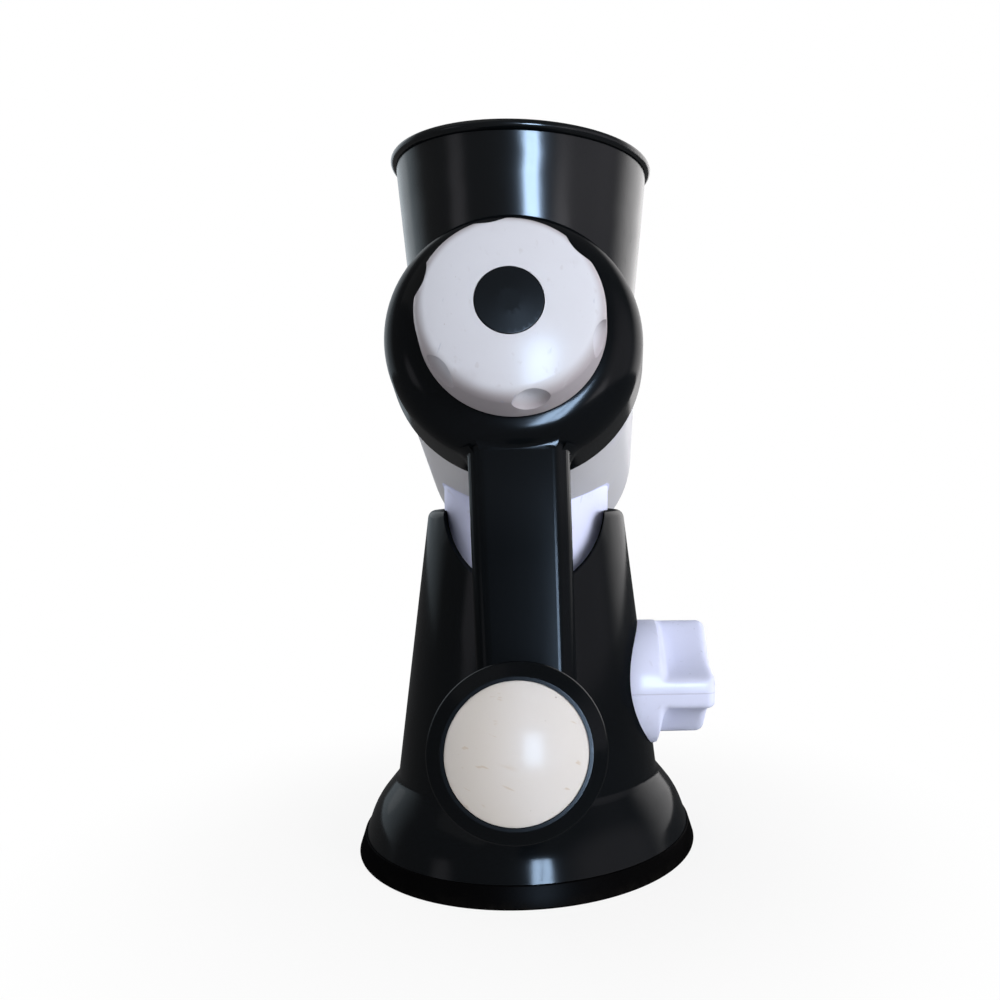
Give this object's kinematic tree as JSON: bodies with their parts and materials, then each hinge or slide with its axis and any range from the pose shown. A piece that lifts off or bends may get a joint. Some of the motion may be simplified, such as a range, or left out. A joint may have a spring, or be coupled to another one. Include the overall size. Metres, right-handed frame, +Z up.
{
  "type": "rotary vegetable grater",
  "caption": "Hand-cranked rotary vegetable grater: black hopper and crank, white drum housing with a steel grating cone, and a black suction base with a white three-armed knob.",
  "frame": {"origin": "centre of the rubber foot's flat underside, on the table", "axes": "+Z is up, -Y is the crank side, +X is the side with the suction knob"},
  "size_m": [0.1348, 0.239, 0.2514],
  "materials": {
    "foot_rubber": "matte rubber",
    "black_plastic": "glossy moulded plastic",
    "inner_plastic": "plain moulded plastic",
    "screw_steel": "zinc-plated steel",
    "bright_steel": "turned steel",
    "white_plastic": "glossy moulded plastic",
    "bush_plastic": "plain moulded plastic",
    "cone_steel": "polished stainless sheet",
    "cap_plastic": "satin moulded plastic",
    "ivory_plastic": "glossy moulded plastic, lightly worn"
  },
  "bodies": {
    "stand": {"suction_pad": "foot_rubber", "base_shell": "black_plastic", "base_floor": "inner_plastic", "floor_screws": "screw_steel", "body_housing": "white_plastic", "neck_screws": "screw_steel", "hopper": "black_plastic", "front_bush": "bush_plastic"},
    "crank_set": {"crank": "black_plastic", "drive_shaft": "bright_steel", "thrust_washer": "bright_steel", "cone_hub": "inner_plastic", "grating_cone": "cone_steel", "cone_rim": "inner_plastic", "grip_spindle": "bright_steel", "grip_washer": "bright_steel"},
    "lock_set": {"lock_knob": "white_plastic", "knob_insert": "bright_steel", "lock_cap": "cap_plastic"},
    "grip_set": {"grip_sleeve": "black_plastic", "grip_cap": "ivory_plastic"},
    "suction_set": {"suction_knob": "white_plastic", "cam_shaft": "bright_steel", "knob_screw": "screw_steel"},
    "stem_set": {"lift_stem": "bright_steel"}
  },
  "joints": [
    {"name": "crank_turn", "type": "hinge", "parent": "stand", "child": "crank_set", "pos_m": [0, 0, 0.1638], "axis": [0, -0.9781, 0.2079], "continuous": true},
    {"name": "lock_turn", "type": "hinge", "parent": "crank_set", "child": "lock_set", "pos_m": [0, 0, 0.1638], "axis": [0, -0.9781, 0.2079], "range_deg": [0, 90]},
    {"name": "grip_spin", "type": "hinge", "parent": "crank_set", "child": "grip_set", "pos_m": [0.00393, -0.02338, 0.05383], "axis": [0, -0.9781, 0.2079], "continuous": true},
    {"name": "suction_turn", "type": "hinge", "parent": "stand", "child": "suction_set", "pos_m": [0, 0, 0.061], "axis": [-1, 0, 0], "range_deg": [0, 90]},
    {"name": "lift_slide", "type": "slide", "parent": "stand", "child": "stem_set", "axis": [0, 0, 1], "range_m": [0, 0.005], "deforming": ["suction_pad"]}
  ],
  "couplings": [
    {"joint": "lift_slide", "follows": "suction_turn", "m_per_rad": 0.0031831}
  ]
}
